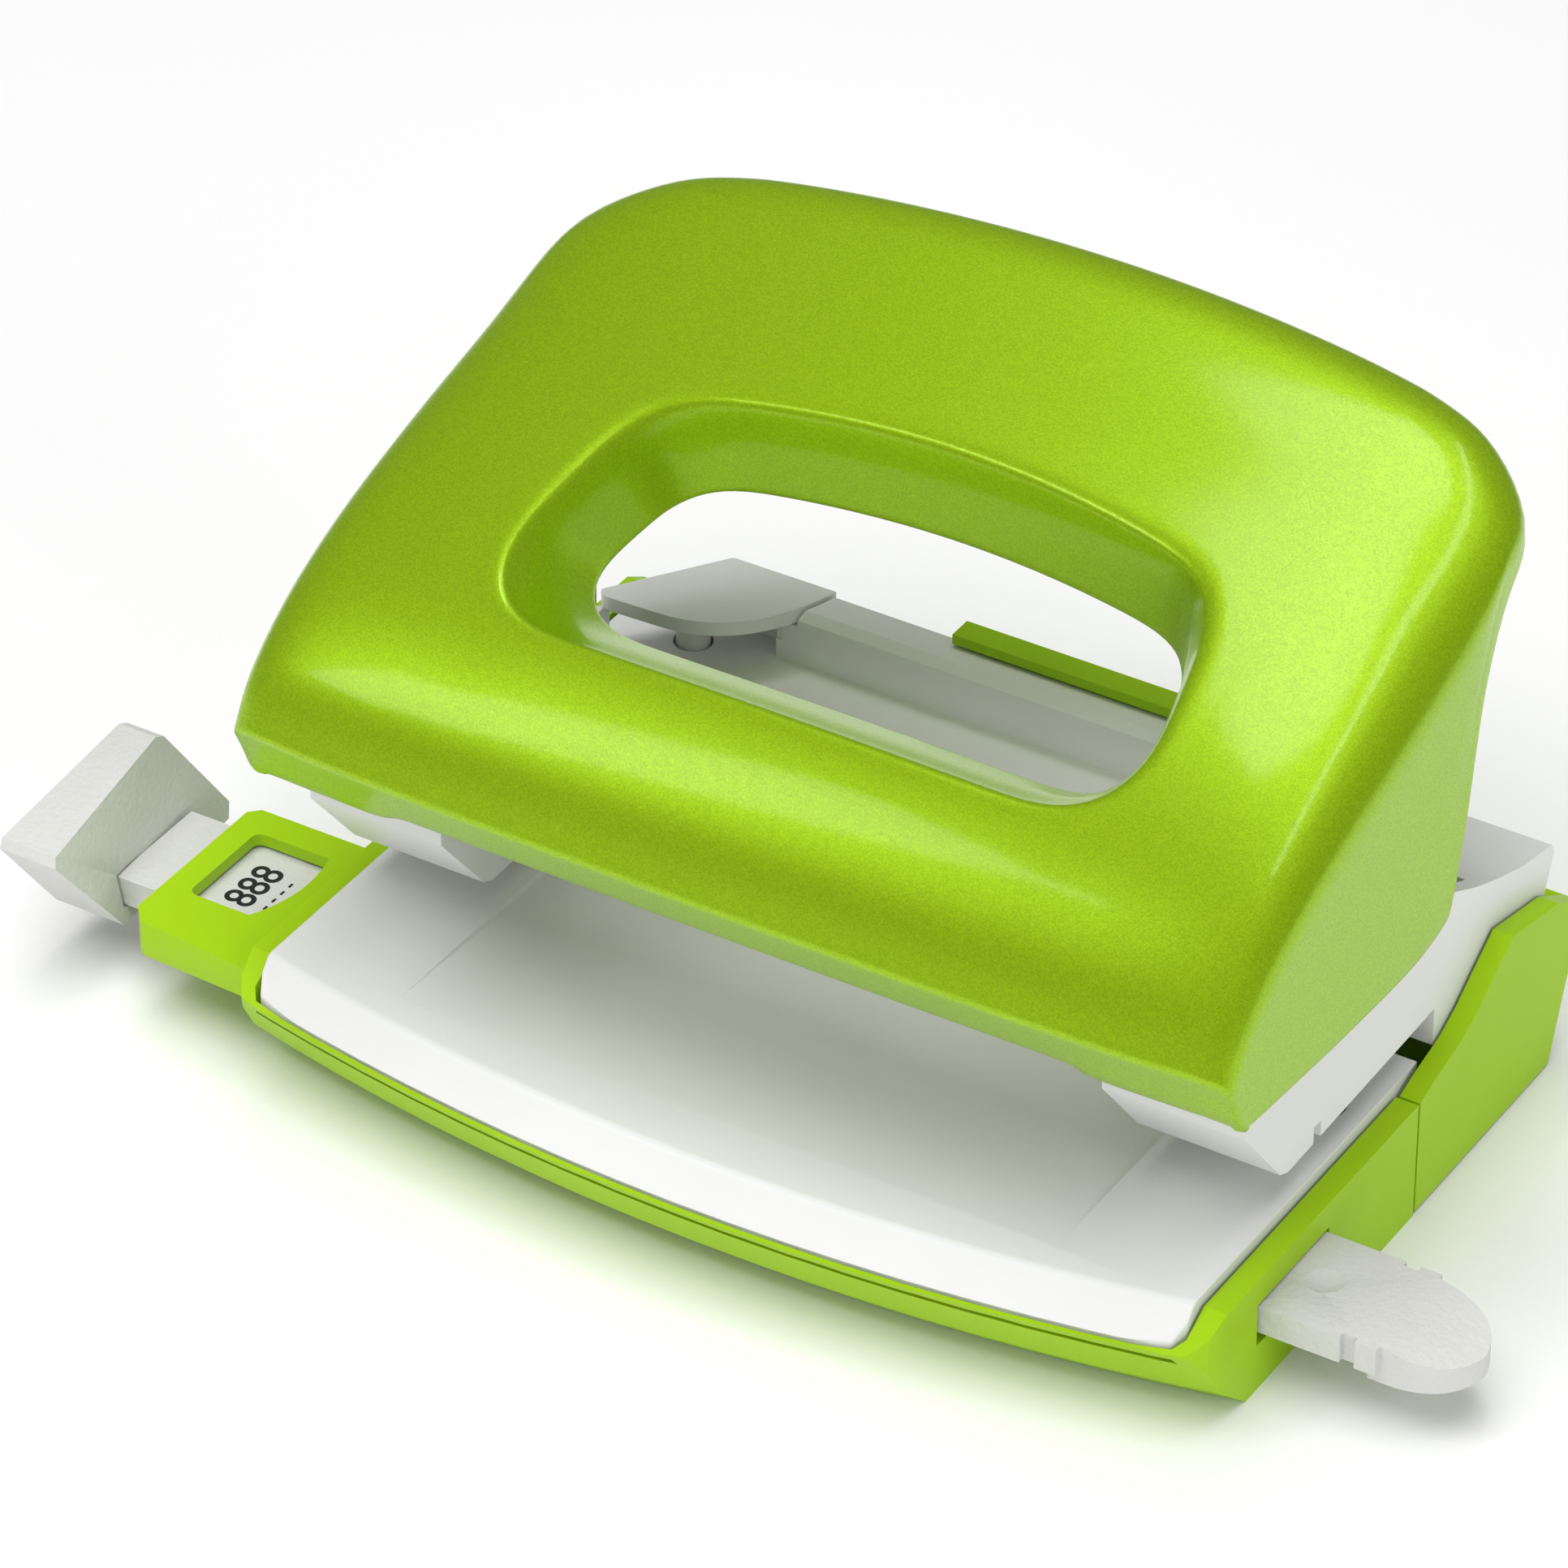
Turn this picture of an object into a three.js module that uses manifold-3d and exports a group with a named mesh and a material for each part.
// Two-hole desk punch with a pressed lever handle, sliding paper guide and pull-out chip tray.
// Units are millimetres. X runs along the row of holes, -Y is the front where paper goes in, +Z is up.
// The origin lies on the underside of the base, on the plane midway between the two holes.
import * as THREE from 'three';
import { mergeVertices } from 'three/addons/utils/BufferGeometryUtils.js';
import Module from 'manifold-3d';

const wasm = await Module();
wasm.setup();

// ---- driving dimensions ----
const HOLE_PITCH = 80;
const HOLE_X = HOLE_PITCH / 2;
const HOLE_RADIUS = 2.75;
const PAPER_DEPTH = 12;
const THROAT_END_Y = 4;
const HOLE_Y = THROAT_END_Y - PAPER_DEPTH;
const FIT = 0.3;
const WALL = 2;

const BASE_HALF_WIDTH = 49;
const BASE_FLOOR = 1.6;
const BASE_SIDE_TOP = 12;
const BASE_SPLIT_Y = -2.3;
const FRONT_BULGE_Y = -45.4;
const FRONT_BULGE_RADIUS = 215;
const FRONT_LIP_Z = 9.4;
const FRONT_UNDERCUT = 7.4;

const TABLE_HALF_WIDTH = 46.5;
const TABLE_TOP = 13;
const TABLE_UNDER = 11;
const LAND_INNER_X = 33;
const PAPER_RAMP_DROP = 1.3;

const ARM_INNER_X = 33;
const ARM_OUTER_X = 46.7;
const ARM_SKIN = 1.6;
const THROAT_TOP = 16.6;
const LEDGE_TOP = 21.5;
const BODY_FLOOR_TOP = 16;

const PIVOT_Y = 7;
const PIVOT_Z = 24;
const AXLE_RADIUS = 1.5;
const EAR_INNER_X = 42.6;
const EAR_OUTER_X = 44.8;
const LATCH_X = -38.5;
const LATCH_Y = 20;
const LATCH_TOP = 21.8;
const LATCH_THICKNESS = 1.5;
const BODY_SCREW = [30, 10];
const PLATE_SCREW = [20, -11];
const SCREW_BORE = 1.6;

const HANDLE_HALF_WIDTH = 49.2;
const HANDLE_SKIN = 1.7;
const FACE_TILT = Math.atan(0.363);

const BAR_CENTRE_Y = -24.4;
const BAR_HALF_WIDTH = 5.9;
const BAR_UNDER = 6.2;
const BAR_TOP = 9;
const FINGER_DROP = 1;
const BAR_RIGHT_END = 67.3;
const STOP_FACE_X = -68.5;

const SLEEVE_LEFT_X = -62.4;
const SLEEVE_TOP = 10.5;

// ---- solid helpers ----
function toSolid(geometry) {
  const bare = geometry.index ? geometry.toNonIndexed() : geometry.clone();
  bare.deleteAttribute('normal');
  bare.deleteAttribute('uv');
  const merged = mergeVertices(bare, 1e-4);
  return new wasm.Manifold(new wasm.Mesh({
    numProp: 3,
    vertProperties: new Float32Array(merged.attributes.position.array),
    triVerts: new Uint32Array(merged.index.array),
  }));
}

function toGeometry(solid) {
  const mesh = solid.getMesh();
  const geometry = new THREE.BufferGeometry();
  geometry.setAttribute('position', new THREE.BufferAttribute(mesh.vertProperties, 3));
  geometry.setIndex(new THREE.BufferAttribute(mesh.triVerts, 1));
  return geometry;
}

function outline(points) {
  return new THREE.Shape(points.map(([a, b]) => new THREE.Vector2(a, b)));
}

// Upright prism of an X-Y outline between two heights.
function plate(points, z0, z1) {
  const shape = points instanceof THREE.Shape ? points : outline(points);
  const geometry = new THREE.ExtrudeGeometry(shape, { depth: z1 - z0, bevelEnabled: false });
  return toSolid(geometry.translate(0, 0, z0));
}

// Prism of a Y-Z outline between two X stations.
function slabX(points, x0, x1) {
  const geometry = new THREE.ExtrudeGeometry(outline(points), { depth: x1 - x0, bevelEnabled: false });
  const basis = new THREE.Matrix4().makeBasis(
    new THREE.Vector3(0, 1, 0),
    new THREE.Vector3(0, 0, 1),
    new THREE.Vector3(1, 0, 0),
  );
  return toSolid(geometry.applyMatrix4(basis).translate(x0, 0, 0));
}

function box(x0, x1, y0, y1, z0, z1) {
  const geometry = new THREE.BoxGeometry(x1 - x0, y1 - y0, z1 - z0);
  return toSolid(geometry.translate((x0 + x1) / 2, (y0 + y1) / 2, (z0 + z1) / 2));
}

function cylinderZ(radius, x, y, z0, z1, sides = 32) {
  const geometry = new THREE.CylinderGeometry(radius, radius, z1 - z0, sides).rotateX(Math.PI / 2);
  return toSolid(geometry.translate(x, y, (z0 + z1) / 2));
}

function cylinderX(radius, y, z, x0, x1, sides = 28) {
  const geometry = new THREE.CylinderGeometry(radius, radius, x1 - x0, sides).rotateZ(Math.PI / 2);
  return toSolid(geometry.translate((x0 + x1) / 2, y, z));
}

// Solid of revolution about an upright axis; the profile lists radius and height.
function turned(profile, x, y, sides = 32) {
  const points = profile.map(([r, z]) => new THREE.Vector2(r, z));
  return toSolid(new THREE.LatheGeometry(points, sides).rotateX(Math.PI / 2).translate(x, y, 0));
}

function union(...solids) {
  return solids.reduce((sum, solid) => sum.add(solid));
}

function cut(solid, ...tools) {
  return tools.reduce((rest, tool) => rest.subtract(tool), solid);
}

function mirrored(points) {
  return [...points, ...points.map(([x, y]) => [-x, y]).reverse()];
}

// Largest front reach of the bowed base at a given X.
function bow(x, centreY, radius = FRONT_BULGE_RADIUS) {
  return centreY + radius - Math.sqrt(radius * radius - x * x);
}

// X range of a piece of one side, given its distances from the middle plane.
function span(side, near, far) {
  return side > 0 ? [near, far] : [-far, -near];
}

function bowedEdge(halfWidth, centreY, steps) {
  const points = [];
  for (let i = 0; i <= steps; i += 1) {
    const x = -halfWidth + (2 * halfWidth * i) / steps;
    points.push([x, bow(x, centreY)]);
  }
  return points;
}

const pieces = new THREE.Group();

function piece(name, solid, [color, roughness, metalness], parent = pieces) {
  const material = new THREE.MeshStandardMaterial({ color, roughness, metalness });
  const mesh = new THREE.Mesh(toGeometry(solid), material);
  mesh.name = name;
  parent.add(mesh);
  return mesh;
}

const LACQUER = [0x8db81a, 0.25, 0.6];
const GREEN = [0x9dc716, 0.4, 0];
const WHITE = [0xe5e5e3, 0.45, 0];
const GREY = [0xcfcfcb, 0.6, 0];
const STEEL = [0xb8bbbe, 0.3, 1];

// ---- base shell with the guide sleeve ----
// The bowed front leans back below its lip: a ring whose radius shrinks towards the floor bounds it.
function bowedFront(lipY, lipZ, undercut, topZ) {
  const r = FRONT_BULGE_RADIUS;
  const profile = [[0, 0], [r - undercut, 0], [r - undercut * 0.45, lipZ * 0.4],
    [r, lipZ], [r, topZ], [0, topZ]];
  return turned(profile, 0, lipY + r, 240);
}

// Slot of the guide bar, deeper on the right where the thicker finger end slides in.
function barSlot() {
  const y0 = BAR_CENTRE_Y - BAR_HALF_WIDTH - FIT;
  const y1 = BAR_CENTRE_Y + BAR_HALF_WIDTH + FIT;
  const long = box(-70, 60, y0, y1, BAR_UNDER - FIT, BAR_TOP + FIT);
  return union(long, box(-22, 60, y0, y1, BAR_UNDER - FINGER_DROP - FIT, BAR_TOP + FIT));
}

function baseShell() {
  const backY = BASE_SPLIT_Y - FIT / 2;
  const corner = [[BASE_HALF_WIDTH, backY], [BASE_HALF_WIDTH, -36], [48.6, -38.4], [47.4, -40.2], [46, -48]];
  const front = bowedFront(FRONT_BULGE_Y, FRONT_LIP_Z, FRONT_UNDERCUT, 40);
  const outer = plate(mirrored(corner), 0, BASE_SIDE_TOP).intersect(front);
  const slope = [[-60, FRONT_LIP_Z], [-40.6, FRONT_LIP_Z], [-36, BASE_SIDE_TOP], [-36, 20], [-60, 20]];
  const lipSlope = slabX(slope, -60, 60);
  const wallX = TABLE_HALF_WIDTH + FIT;
  const pocket = (edge) => [[wallX, 5], [wallX, -38.9], ...edge.reverse(), [-wallX, -38.9], [-wallX, 5]];
  const inside = plate(pocket(bowedEdge(45, -44.4, 12)), BASE_FLOOR, 30)
    .intersect(bowedFront(-43.2, FRONT_LIP_Z, FRONT_UNDERCUT, 40));
  const rim = plate(pocket(bowedEdge(46, -44.95, 12)), FRONT_LIP_Z - 1.4, 30);
  const shell = cut(outer, lipSlope, inside, rim);
  const rearFloor = box(-TABLE_HALF_WIDTH + 0.4, TABLE_HALF_WIDTH - 0.4, -6, 20, 0, BASE_FLOOR);
  const sleevePlan = [[SLEEVE_LEFT_X + 1.6, -36.4], [-47.5, -37.6], [-47.5, -16.7],
    [SLEEVE_LEFT_X + 1, -16.7], [SLEEVE_LEFT_X, -17.7], [SLEEVE_LEFT_X, -34.6]];
  const sleeveSide = [[-15, 4.4], [-31.4, 4.4], [-38.4, 7.8], [-38.4, 12], [-15, 12]];
  const sleeve = plate(sleevePlan, 4.4, SLEEVE_TOP).intersect(slabX(sleeveSide, -70, -40));
  const windowShape = new THREE.Shape();
  windowShape.moveTo(-59.8, -29.6);
  windowShape.quadraticCurveTo(-59.8, -30.6, -58.8, -30.6);
  windowShape.lineTo(-53.2, -30.6);
  windowShape.quadraticCurveTo(-50.4, -25.4, -52, -19.8);
  windowShape.lineTo(-58.8, -19.8);
  windowShape.quadraticCurveTo(-59.8, -19.8, -59.8, -20.8);
  const posts = [];
  const screwBores = [];
  for (const side of [-1, 1]) {
    for (const [[x, y], postTop] of [[BODY_SCREW, 13], [PLATE_SCREW, 8.9]]) {
      posts.push(cylinderZ(3.2, side * x, y, 0, postTop, 20));
      screwBores.push(cylinderZ(SCREW_BORE, side * x, y, -1, postTop + 1, 20));
      screwBores.push(cylinderZ(2.9, side * x, y, -1, 1.3, 24));
    }
  }
  const openSleeve = sleeve.subtract(plate(windowShape, BAR_TOP, SLEEVE_TOP + 1));
  const body = union(shell, rearFloor, openSleeve, ...posts);
  return cut(body, barSlot(), ...screwBores);
}

// ---- paper table: side lands stay level, the middle falls towards the back ----
function paperTable() {
  const plan = [[TABLE_HALF_WIDTH, 1.9], [TABLE_HALF_WIDTH, -38.2], [45.8, -39.6],
    ...bowedEdge(45, -45.3, 14).reverse().slice(1, -1),
    [-45.8, -39.6], [-TABLE_HALF_WIDTH, -38.2], [-TABLE_HALF_WIDTH, 1.9]];
  const reach = FRONT_BULGE_RADIUS;
  const brim = FRONT_LIP_Z + FIT;
  const crown = [[0, 8.3], [reach - 0.35, 8.3], [reach - 0.35, brim], [reach, brim], [reach - 2.5, 12.75],
    [reach - 3, TABLE_TOP], [0, TABLE_TOP]];
  const block = plate(plan, 8.3, TABLE_TOP).intersect(turned(crown, 0, -45 + reach, 240));
  const hollow = plate(
    [[45.4, 5], [45.4, -37.4], ...bowedEdge(43.6, -42.4, 12).reverse(), [-45.4, -37.4], [-45.4, 5]],
    0, TABLE_UNDER,
  );
  const slope = [[-37, TABLE_TOP + 0.01], [4, TABLE_TOP - PAPER_RAMP_DROP], [4, 20], [-37, 20]];
  const ramp = slabX(slope, -LAND_INNER_X, LAND_INNER_X);
  const bores = [-1, 1].map((side) => cylinderZ(4.2 + FIT, side * HOLE_X, HOLE_Y, 5, 20));
  return cut(block, hollow, ramp, barSlot(), ...bores);
}

function diePlate() {
  const bores = [-1, 1].map((side) => cylinderZ(4.2 + FIT, side * HOLE_X, HOLE_Y, 5, 20));
  const [x, y] = PLATE_SCREW;
  const screwBores = [-1, 1].map((side) => cylinderZ(SCREW_BORE, side * x, y, 5, 20, 20));
  return cut(box(-44, 44, -16.5, 0.5, 9.2, TABLE_UNDER - FIT), ...bores, ...screwBores);
}

function dieRing(side) {
  const bore = HOLE_RADIUS + 0.15;
  const top = TABLE_TOP - 0.2;
  const profile = [[bore, 7.9], [5, 7.9], [5, 8.9], [4.2, 8.9], [4.2, top], [bore, top], [bore, 7.9]];
  return turned(profile, side * HOLE_X, HOLE_Y, 32);
}

// ---- punch body: two hollow arms over the paper throat, joined by a floor and a rear ledge ----
const ARM_SIDE = [
  [THROAT_END_Y + 0.2, 13.3], [THROAT_END_Y + 0.2, 17.2], [-21.8, THROAT_TOP], [-23.2, 17.2], [-29.6, 25],
  [-29.6, 28.4], [-4, 29.2], [1.5, 29], [6.7, 28], [11, 25.9], [15.3, 24.2], [20, 22.6], [25.6, 21.5],
  [26.2, 20.6], [23.4, 13.3],
];

function punchBody() {
  const parts = [];
  for (const side of [-1, 1]) {
    parts.push(slabX(ARM_SIDE, ...span(side, ARM_INNER_X, ARM_OUTER_X)));
  }
  const ledge = [[21.8, 13.3], [21.8, 20.7], [22.6, LEDGE_TOP],
    [25.8, LEDGE_TOP], [26.2, 20.6], [23.4, 13.3]];
  parts.push(slabX(ledge, -34, 34));
  parts.push(box(-34, 34, THROAT_END_Y + 0.2, 22.5, 13.3, BODY_FLOOR_TOP));
  const tools = [];
  for (const side of [-1, 1]) {
    const well = [[12, 15], [12, 40], [-27.6, 40], [-27.6, 25.6], [-22.2, 18.6], [6, 18.6], [8, 15]];
    tools.push(slabX(well, ...span(side, ARM_INNER_X + ARM_SKIN, ARM_OUTER_X - ARM_SKIN)));
    tools.push(cylinderZ(4.7, side * HOLE_X, HOLE_Y, 15, 20));
    const socket = span(side, EAR_OUTER_X, ARM_OUTER_X - 0.5);
    tools.push(cylinderX(AXLE_RADIUS + 0.25, PIVOT_Y, PIVOT_Z, ...socket));
    tools.push(cylinderZ(SCREW_BORE, side * BODY_SCREW[0], BODY_SCREW[1], 10, 20, 20));
    const notchX = side * ARM_OUTER_X;
    tools.push(box(notchX - 1, notchX + 1, -17.4, -16.1, 15, 18.4));
  }
  // The latch well opens the left end of the ledge, whose corner is cut off along the edge of the tab.
  // The inner arm walls step down towards it.
  const wellBottom = LATCH_TOP - LATCH_THICKNESS - FIT;
  const corner = [[-50, 13.6], [-46.2, 14.4], [-38.2, 26.6], [-38.2, 30], [-50, 30]];
  tools.push(box(-ARM_OUTER_X + ARM_SKIN, -30.7, 11, 24.2, BODY_FLOOR_TOP, 30));
  tools.push(box(-50, -30.7, 11.4, 30, wellBottom, 30), plate(latchOutline(0.4), wellBottom, 30));
  tools.push(plate(corner, BODY_FLOOR_TOP, 30));
  const leftStep = [[0, 29.6], [9.6, 20.4], [10.8, 19.4], [14, 18], [22, 18], [22, 30], [0, 30]];
  const rightStep = [[0, 29.6], [10, 21], [13.4, 20], [13.4, 30], [0, 30]];
  tools.push(slabX(leftStep, ...span(-1, 30, ARM_INNER_X + ARM_SKIN)));
  tools.push(slabX(rightStep, ...span(1, 30, ARM_INNER_X + ARM_SKIN)));
  tools.push(cylinderZ(1.9, LATCH_X, LATCH_Y, 10, 20, 20));
  return cut(union(...parts), ...tools);
}

function guideBush(side) {
  const bore = HOLE_RADIUS + FIT;
  const profile = [[bore, 16.8], [4.4, 16.8], [4.4, 18.9], [5, 18.9], [5, 20], [bore, 20], [bore, 16.8]];
  return turned(profile, side * HOLE_X, HOLE_Y, 32);
}

function axlePin(side) {
  const ends = span(side, EAR_INNER_X - 0.2, ARM_OUTER_X - 0.7);
  return cylinderX(AXLE_RADIUS, PIVOT_Y, PIVOT_Z, ...ends, 24);
}

// ---- punch pins, clips and return springs ----
function punchPin(side) {
  const r = HOLE_RADIUS;
  const profile = [[0, 17.9], [r - 0.1, 16.9], [r, 17.1], [r, 30],
    [3.5, 30], [3.5, 30.6], [3.1, 31], [0, 31]];
  return turned(profile, side * HOLE_X, HOLE_Y, 28);
}

function pinClip(side) {
  const bore = HOLE_RADIUS + FIT;
  const profile = [[bore, 29], [4.2, 29], [4.2, 29.7], [bore, 29.7], [bore, 29]];
  return turned(profile, side * HOLE_X, HOLE_Y, 28);
}

class Coil extends THREE.Curve {
  constructor(radius, z0, z1, turns) {
    super();
    Object.assign(this, { radius, z0, z1, turns });
  }

  getPoint(t) {
    const angle = 2 * Math.PI * this.turns * t;
    return new THREE.Vector3(
      this.radius * Math.cos(angle),
      this.radius * Math.sin(angle),
      this.z0 + (this.z1 - this.z0) * t,
    );
  }
}

function returnSpring(side) {
  const wire = new THREE.Shape().absarc(0, 0, 0.4, 0, 2 * Math.PI);
  const path = new Coil(3.7, 20.75, 28.25, 3.5);
  const options = { steps: 42, curveSegments: 3, bevelEnabled: false, extrudePath: path };
  const geometry = new THREE.ExtrudeGeometry(wire, options);
  return toSolid(geometry.translate(side * HOLE_X, HOLE_Y, 0));
}

// ---- handle: a crowned shell swept between a middle curve and a side curve ----
// Each station gives Y and Z on the middle line, the side line, the lower edge and the floor of the hollow,
// then how far the face and the lower edge tuck in from the full half width.
const HANDLE_STATIONS = [
  { mid: [-35.7, 30.9], side: [-34.9, 30.9], low: [-34.1, 30.3], hollow: [-33, 25], tuck: [0, 0] },
  { mid: [-39.4, 36.8], side: [-38.0, 36.8], low: [-33.2, 30.0], hollow: [-27, 24], tuck: [0, 0] },
  { mid: [-36.8, 42.2], side: [-35.3, 41.8], low: [-30.5, 29.6], hollow: [-24, 23.5], tuck: [0, 0] },
  { mid: [-30.0, 47.8], side: [-29.6, 46.4], low: [-25.5, 29.1], hollow: [-20, 23], tuck: [0, 0] },
  { mid: [-20.5, 52.3], side: [-20.5, 50.6], low: [-18.0, 28.4], hollow: [-14, 22.5], tuck: [0, 0] },
  { mid: [-8.0, 56.6], side: [-9.0, 54.2], low: [-9.0, 27.9], hollow: [-7, 22], tuck: [0.1, 0] },
  { mid: [6.0, 61.2], side: [1.5, 57.2], low: [-3.0, 27.9], hollow: [0, 22], tuck: [0.6, 0] },
  { mid: [17.0, 65.0], side: [9.5, 60.0], low: [0.8, 29.0], hollow: [6, 24], tuck: [1.7, 0] },
  { mid: [23.5, 66.9], side: [13.8, 61.2], low: [4.0, 39.0], hollow: [12, 33], tuck: [2.8, 0.3] },
  { mid: [26.6, 66.2], side: [16.4, 60.6], low: [7.2, 49.6], hollow: [20, 44], tuck: [3.2, 1.6] },
  { mid: [27.6, 63.0], side: [17.2, 57.6], low: [13.6, 57.6], hollow: [25, 53.5], tuck: [3.4, 3.2] },
];

function stationAt(t) {
  const last = HANDLE_STATIONS.length - 1;
  const i = Math.min(Math.floor(t * last), last - 1);
  const [a, b] = [HANDLE_STATIONS[i], HANDLE_STATIONS[i + 1]];
  const f = t * last - i;
  const mix = (key) => [0, 1].map((axis) => a[key][axis] + (b[key][axis] - a[key][axis]) * f);
  const [faceTuck, edgeTuck] = mix('tuck');
  return {
    mid: mix('mid'),
    side: mix('side'),
    low: mix('low'),
    hollow: mix('hollow'),
    width: HANDLE_HALF_WIDTH - faceTuck,
    edge: HANDLE_HALF_WIDTH - edgeTuck,
  };
}

// Filled form of the handle. A positive inset gives the hollow, which also runs out below and behind.
function handleForm(inset) {
  const columns = 20;
  const rows = HANDLE_STATIONS.length - 1;
  const geometry = new THREE.BoxGeometry(2, 1, 1, columns, rows, 1);
  const position = geometry.attributes.position;
  const place = (t, u, top) => {
    const here = stationAt(t);
    const ahead = stationAt(Math.min(t + 0.5 / rows, 1));
    const behind = stationAt(Math.max(t - 0.5 / rows, 0));
    const q = Math.abs(u);
    const sag = 0.5 * q ** 2 + 0.5 * q ** 10;
    if (top) {
      const y = here.mid[0] + (here.side[0] - here.mid[0]) * sag;
      const z = here.mid[1] + (here.side[1] - here.mid[1]) * sag;
      const dy = ahead.mid[0] - behind.mid[0];
      const dz = ahead.mid[1] - behind.mid[1];
      const length = Math.hypot(dy, dz);
      return [u * (here.width - inset), y + (inset * dz) / length, z - (inset * dy) / length];
    }
    const floor = inset === 0 ? here.low : here.hollow;
    return [u * (here.edge - inset), floor[0], floor[1]];
  };
  for (let i = 0; i < position.count; i += 1) {
    const u = THREE.MathUtils.clamp(position.getX(i), -1, 1);
    const t = position.getY(i) + 0.5;
    const spread = Math.sign(u) * (1 - (1 - Math.abs(u)) ** 1.6);
    const [x, y, z] = place(t, spread, position.getZ(i) > 0);
    position.setXYZ(i, x, y, z);
  }
  return toSolid(geometry);
}

// Prism of a finger-window outline, square to the tilted face.
function windowPrism(grow, below, above) {
  const shape = new THREE.Shape();
  const right = [[24 + grow, -10.6 - grow], [28.6 + grow, -6], [27 + grow, 7], [22 + grow, 11.4 + grow]];
  const left = right.map(([x, v]) => [-x, v]).reverse();
  shape.moveTo(...right[0]);
  shape.quadraticCurveTo(28.6 + grow, -10.6 - grow, ...right[1]);
  shape.lineTo(...right[2]);
  shape.quadraticCurveTo(26.4 + grow, 11.4 + grow, ...right[3]);
  shape.lineTo(...left[0]);
  shape.quadraticCurveTo(-26.4 - grow, 11.4 + grow, ...left[1]);
  shape.lineTo(...left[2]);
  shape.quadraticCurveTo(-28.6 - grow, -10.6 - grow, ...left[3]);
  const options = { depth: below + above, bevelEnabled: false, curveSegments: 6 };
  const geometry = new THREE.ExtrudeGeometry(shape, options).translate(0, 0, -below);
  return toSolid(geometry.rotateX(FACE_TILT).translate(0, -13.5, 53.7));
}

function handle() {
  const outer = handleForm(0);
  const shell = outer.subtract(handleForm(HANDLE_SKIN));
  const flange = outer.intersect(windowPrism(1.6, 9, 12));
  const ears = [];
  for (const side of [-1, 1]) {
    const plateSpan = span(side, EAR_INNER_X, EAR_OUTER_X);
    const foot = [[-10.5, 33.9], [-9.6, 31.95], [HOLE_Y, 31.45], [-6.4, 31.95], [-5.5, 33.9]];
    const arm = [[-10.5, 56], ...foot, [-5.5, 37], [2.6, 31], [3.6, 25], [10.4, 25], [9.4, 38], [8, 60]];
    const root = union(outer, box(-60, 60, -11, 12, 20, 44));
    ears.push(slabX([[-10.5, 56], ...foot, [-5.5, 58]], ...span(side, 37.8, 43)).intersect(outer));
    ears.push(slabX(arm, ...plateSpan).intersect(root), cylinderX(3.5, PIVOT_Y, PIVOT_Z, ...plateSpan));
  }
  const axleBores = cylinderX(AXLE_RADIUS + FIT, PIVOT_Y, PIVOT_Z, -60, 60);
  return cut(union(shell, flange, ...ears), windowPrism(0, 14, 14), axleBores);
}

// ---- sliding guide bar and paper stop ----
function guideBar() {
  const y0 = BAR_CENTRE_Y - BAR_HALF_WIDTH;
  const y1 = BAR_CENTRE_Y + BAR_HALF_WIDTH;
  const strip = box(STOP_FACE_X + 0.5, 60, y0, y1, BAR_UNDER, BAR_TOP);
  const tip = new THREE.Shape();
  tip.moveTo(59, y0 + 0.6);
  tip.lineTo(61.6, y0 + 0.6);
  tip.quadraticCurveTo(66.6, y0 + 1.2, BAR_RIGHT_END, BAR_CENTRE_Y);
  tip.quadraticCurveTo(66.6, y1 - 1.2, 61.6, y1 - 0.6);
  tip.lineTo(59, y1 - 0.6);
  const finger = plate(tip, BAR_UNDER - FINGER_DROP, BAR_TOP);
  const ball = new THREE.SphereGeometry(3.2, 24, 12).translate(52, BAR_CENTRE_Y, BAR_TOP + 2.7);
  const notches = [
    box(56.6, 58, y0 - 1, y0 + 0.6, 0, 20),
    box(56.6, 58, y1 - 0.6, y1 + 1, 0, 20),
  ];
  return cut(union(strip, finger), toSolid(ball), ...notches);
}

function paperStop() {
  const side = [[-31.2, 4.6], [-38.8, 14.8], [-38.4, 15.8], [-20.4, 17.5],
    [-19.2, 16.9], [-12, 6], [-12.6, 4.6]];
  const block = slabX(side, -74.2, STOP_FACE_X + 4);
  const lean = new THREE.Matrix4().makeRotationY(-0.2);
  const turn = new THREE.Matrix4().makeRotationZ(0.08);
  const trim = new THREE.BoxGeometry(8, 60, 40).applyMatrix4(lean).applyMatrix4(turn);
  trim.translate(STOP_FACE_X + 3.6, -26, 14);
  const y0 = BAR_CENTRE_Y - BAR_HALF_WIDTH - FIT;
  const y1 = BAR_CENTRE_Y + BAR_HALF_WIDTH + FIT;
  const mortise = box(STOP_FACE_X + 0.45, 0, y0, y1, BAR_UNDER - FIT, BAR_TOP + FIT);
  return cut(block, toSolid(trim), mortise);
}

// ---- lock latch: a swivelling tab over the left end of the ledge ----
function latchOutline(grow) {
  const tab = new THREE.Shape();
  tab.moveTo(-38 - grow, 26.2 + grow);
  tab.lineTo(-27 + grow, 26.3 + grow);
  tab.quadraticCurveTo(-30.2 + grow, 15 - grow, -39.2, 14.8 - grow);
  tab.lineTo(-44.1 - grow, 14.6 - grow);
  tab.quadraticCurveTo(-45.4 - grow, 14.7 - grow, -45.5 - grow, 15.5);
  return tab;
}

function lockLatch() {
  const under = LATCH_TOP - LATCH_THICKNESS;
  const stem = cylinderZ(1.6, LATCH_X, LATCH_Y, 13.8, under + 0.5, 20);
  return union(plate(latchOutline(0), under, LATCH_TOP), stem);
}

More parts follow.
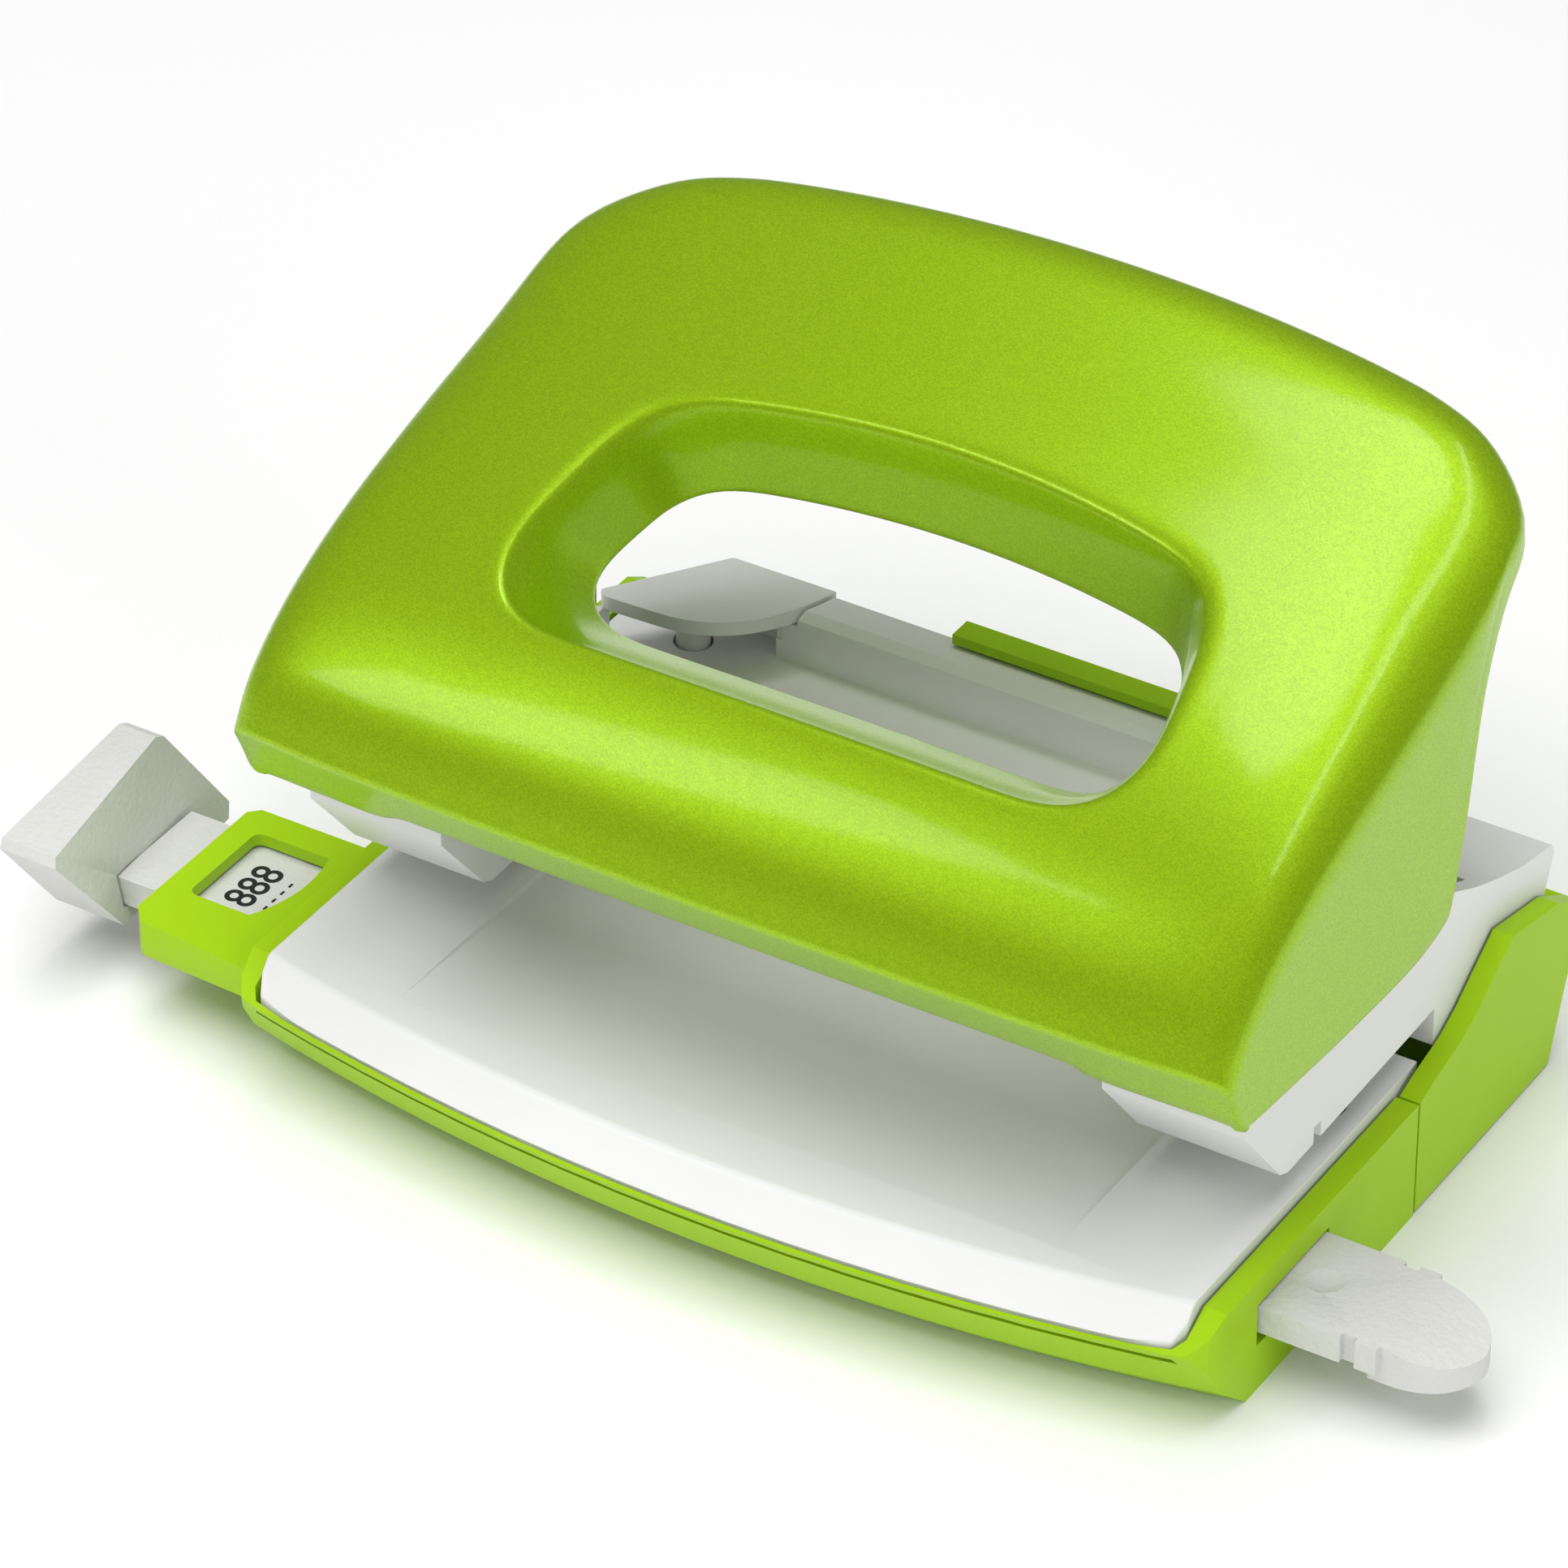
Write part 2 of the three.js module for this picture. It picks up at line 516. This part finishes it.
// ---- chip tray: fork-shaped floor, side cheeks and a leaning rear wall with a pull tab ----
function chipTray() {
  const frontY = BASE_SPLIT_Y + FIT / 2;
  const cheek = [[frontY, FIT], [frontY, BASE_SIDE_TOP], [0.5, 12.9], [5, 14], [7.7, 15.3],
    [10.5, 17.2], [14.2, 19.6], [22.9, 17.7], [28, 14.8], [22.8, FIT]];
  const parts = [];
  for (const side of [-1, 1]) {
    parts.push(slabX(cheek, ...span(side, ARM_OUTER_X + FIT, BASE_HALF_WIDTH)));
  }
  const rear = [[21.2, FIT], [26.1, 14.8], [28, 14.8], [22.8, FIT]];
  parts.push(slabX(rear, -47.5, 47.5));
  parts.push(box(-46, 46, -15, 22.6, 2, 3.2));
  const tab = [[26.4, 14], [26.4, 20.4], [26.3, LEDGE_TOP + FIT], [24.6, LEDGE_TOP + FIT],
    [24.6, 22.8], [27.2, 22.8], [27.9, 21.6], [28, 14]];
  parts.push(slabX(tab, -13.7, 13.7));
  const tools = [];
  for (const side of [-1, 1]) {
    tools.push(box(...span(side, 26.4, 33.6), -16, 13.6, 1, 4));
    tools.push(box(...span(side, 16.4, 23.6), -16, -7.4, 1, 4));
  }
  tools.push(slabX([[11.5, 17.8], [16, 16.4], [30, 16.4], [30, 24], [11.5, 24]], -50, -46));
  return cut(union(...parts), ...tools);
}

function screw(x, y, top) {
  const profile = [[0, 0.2], [2.6, 0.2], [2.6, 1], [1.2, 1.2], [1.2, top], [0, top]];
  return turned(profile, x, y, 20);
}

// ---- assembly ----
piece('base_shell', baseShell(), GREEN);
piece('paper_table', paperTable(), WHITE);
piece('die_plate', diePlate(), STEEL);
piece('punch_body', punchBody(), WHITE);
piece('handle', handle(), LACQUER);
piece('guide_bar', guideBar(), GREY);
piece('paper_stop', paperStop(), GREY);
piece('lock_latch', lockLatch(), WHITE);
piece('chip_tray', chipTray(), GREEN);
for (const [side, word] of [[-1, 'left'], [1, 'right']]) {
  piece(`die_ring_${word}`, dieRing(side), STEEL);
  piece(`guide_bush_${word}`, guideBush(side), STEEL);
  piece(`axle_pin_${word}`, axlePin(side), STEEL);
  piece(`punch_pin_${word}`, punchPin(side), STEEL);
  piece(`pin_clip_${word}`, pinClip(side), STEEL);
  piece(`return_spring_${word}`, returnSpring(side), STEEL);
  piece(`body_screw_${word}`, screw(side * BODY_SCREW[0], BODY_SCREW[1], 15), STEEL);
  piece(`plate_screw_${word}`, screw(side * PLATE_SCREW[0], PLATE_SCREW[1], 10.5), STEEL);
}

export default pieces;
